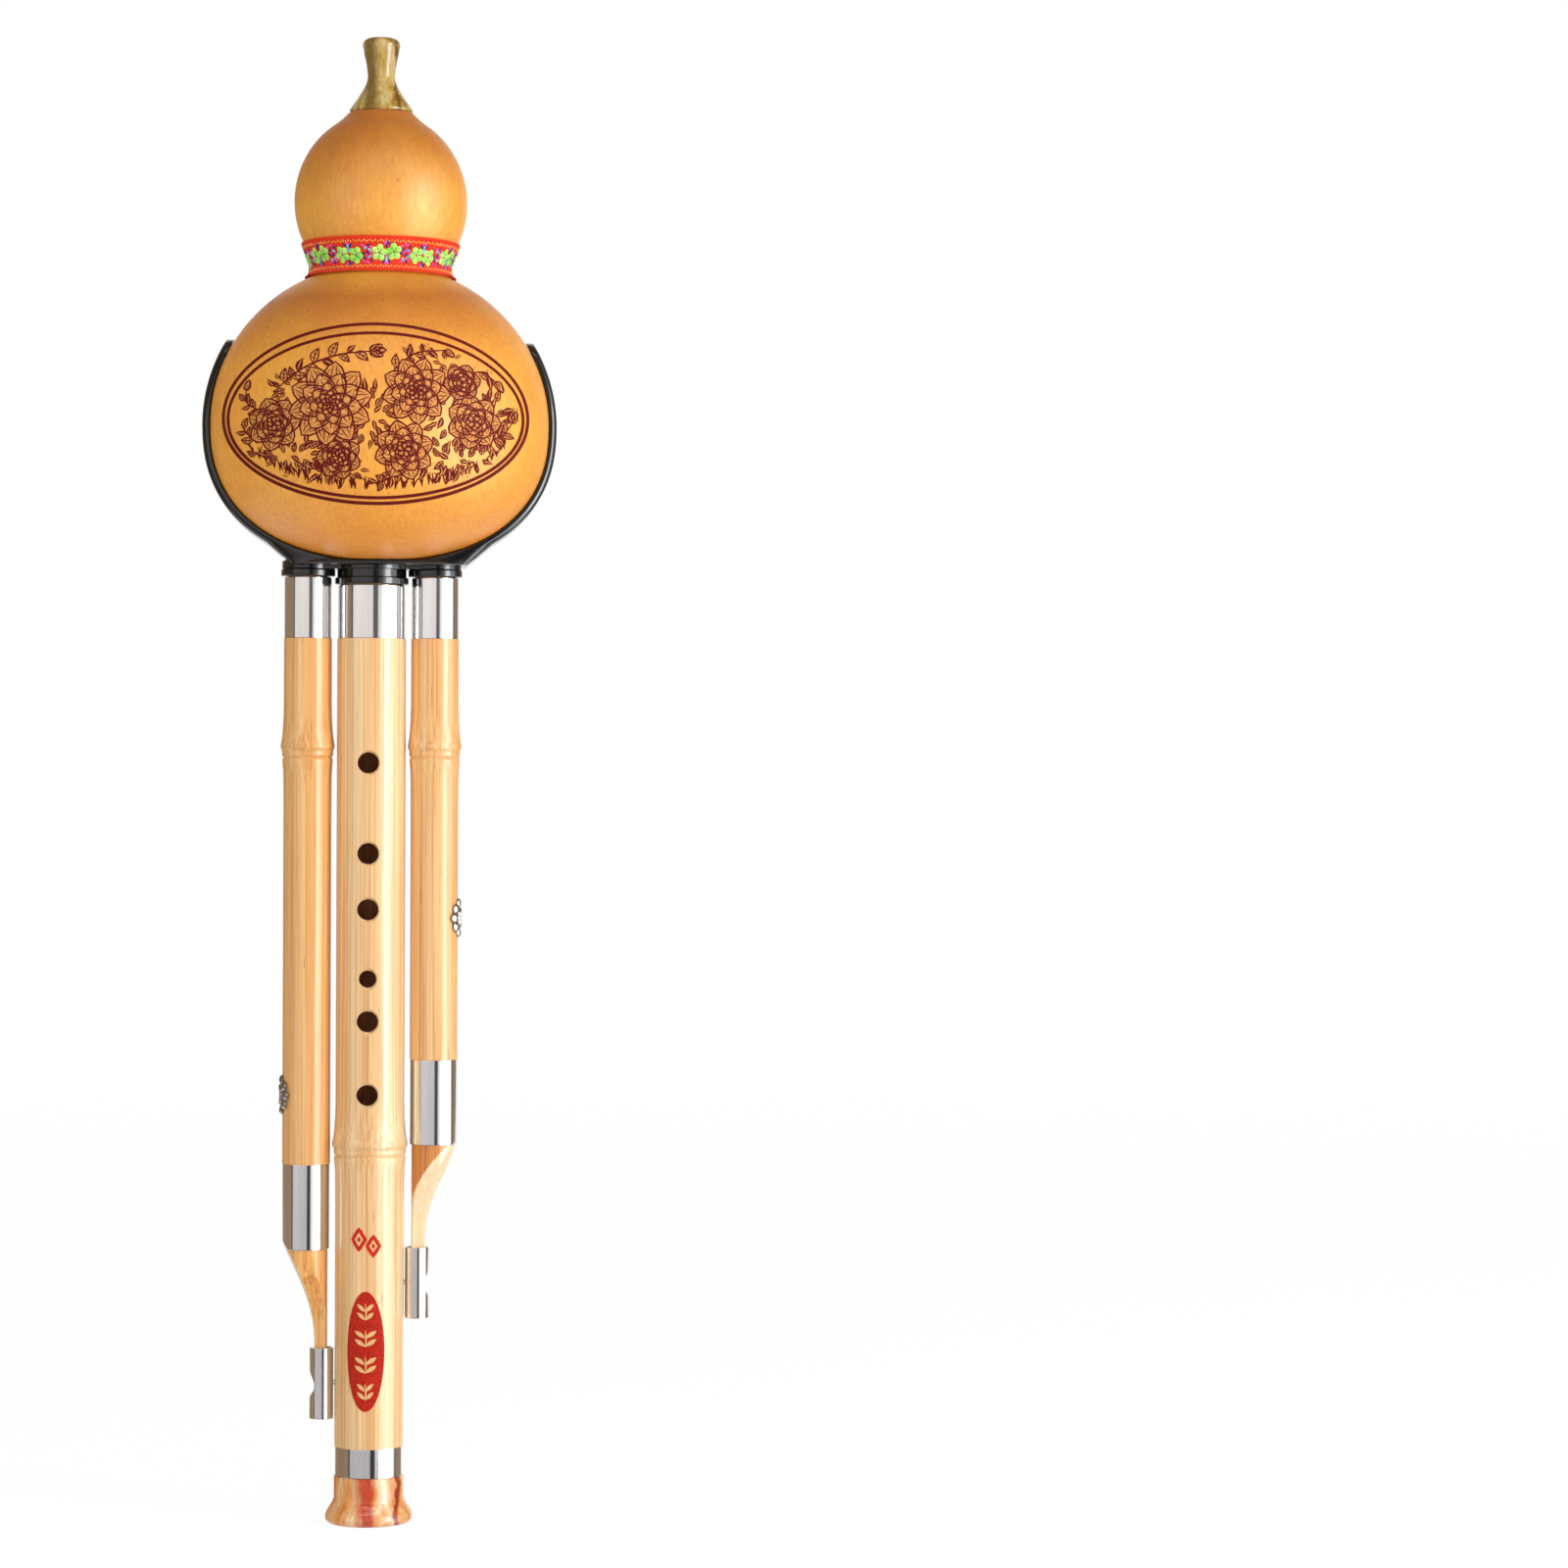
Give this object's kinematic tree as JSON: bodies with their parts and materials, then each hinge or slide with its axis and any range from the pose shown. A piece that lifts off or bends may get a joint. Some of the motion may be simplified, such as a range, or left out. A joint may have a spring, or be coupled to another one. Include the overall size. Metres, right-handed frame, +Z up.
{
  "type": "hulusi",
  "caption": "Gourd flute with a fingered melody pipe, two drone pipes with slanted tails held in spring clips, and a pull-off mouthpiece.",
  "frame": {"origin": "centre of the box's bottom: on the gourd's centre line, in the plane of the bell's mouth", "axes": "+Z up along the pipes towards the mouthpiece, -Y towards the side with the six finger holes, +X towards the shorter drone"},
  "size_m": [0.1074, 0.1028, 0.45],
  "materials": {
    "gourd_skin": "dried gourd shell, orange ochre, lacquered",
    "pale_bamboo": "pale tan bamboo, lacquered",
    "tail_bamboo": "orange tan bamboo, lacquered",
    "chrome": "polished",
    "black_resin": "high gloss",
    "horn_resin": "polished, marbled amber, brown and cream",
    "cork": "sheet cork, matte",
    "brass": "drawn tube, satin",
    "reed_brass": "rolled sheet, satin",
    "red_ribbon": "woven jacquard trim, red with gold, green and blue"
  },
  "bodies": {
    "wind_chest": {"gourd": "gourd_skin", "waist_ribbon": "red_ribbon", "cradle": "black_resin", "main_socket": "black_resin", "left_socket": "black_resin", "right_socket": "black_resin"},
    "blowing_end": {"mouthpiece": "horn_resin"},
    "melody_pipe": {"main_pipe": "pale_bamboo", "bell": "horn_resin", "main_bottom_ferrule": "chrome", "main_top_ferrule": "chrome", "main_cork": "cork", "main_reed_tube": "brass", "main_reed_plate": "reed_brass", "left_clip": "chrome", "right_clip": "chrome", "left_clip_rivet": "chrome", "right_clip_rivet": "chrome"},
    "left_drone": {"left_drone_pipe": "pale_bamboo", "left_top_ferrule": "chrome", "left_lower_ferrule": "chrome", "left_tail": "tail_bamboo", "left_rosette": "chrome", "left_cork": "cork", "left_reed_tube": "brass", "left_reed_plate": "reed_brass"},
    "right_drone": {"right_drone_pipe": "pale_bamboo", "right_top_ferrule": "chrome", "right_lower_ferrule": "chrome", "right_tail": "tail_bamboo", "right_rosette": "chrome", "right_cork": "cork", "right_reed_tube": "brass", "right_reed_plate": "reed_brass"},
    "main_tongue": {"main_reed_tongue": "reed_brass"},
    "left_tongue": {"left_reed_tongue": "reed_brass"},
    "right_tongue": {"right_reed_tongue": "reed_brass"}
  },
  "joints": [
    {"name": "mouthpiece_pull", "type": "slide", "parent": "wind_chest", "child": "blowing_end", "axis": [0, 0, 1], "range_m": [0, 0.014]},
    {"name": "melody_pipe_pull", "type": "slide", "parent": "wind_chest", "child": "melody_pipe", "axis": [0, 0, -1], "range_m": [0, 0.075]},
    {"name": "left_drone_swivel", "type": "hinge", "parent": "wind_chest", "child": "left_drone", "pos_m": [-0.0215, 0, 0.2866], "axis": [0, 0, 1], "range_deg": [0, 90]},
    {"name": "right_drone_swivel", "type": "hinge", "parent": "wind_chest", "child": "right_drone", "pos_m": [0.0169, 0, 0.2866], "axis": [0, 0, 1], "range_deg": [-90, 0]},
    {"name": "main_tongue_flex", "type": "hinge", "parent": "melody_pipe", "child": "main_tongue", "pos_m": [-0.0023, -0.00525, 0.3347], "axis": [1, 0, 0], "range_deg": [-3, 3], "stiffness_Nm_per_rad": 0.0002},
    {"name": "left_tongue_flex", "type": "hinge", "parent": "left_drone", "child": "left_tongue", "pos_m": [-0.0215, -0.00327, 0.3247], "axis": [1, 0, 0], "range_deg": [-3, 3], "stiffness_Nm_per_rad": 0.0002},
    {"name": "right_tongue_flex", "type": "hinge", "parent": "right_drone", "child": "right_tongue", "pos_m": [0.0169, -0.00327, 0.3247], "axis": [1, 0, 0], "range_deg": [-3, 3], "stiffness_Nm_per_rad": 0.0002}
  ]
}
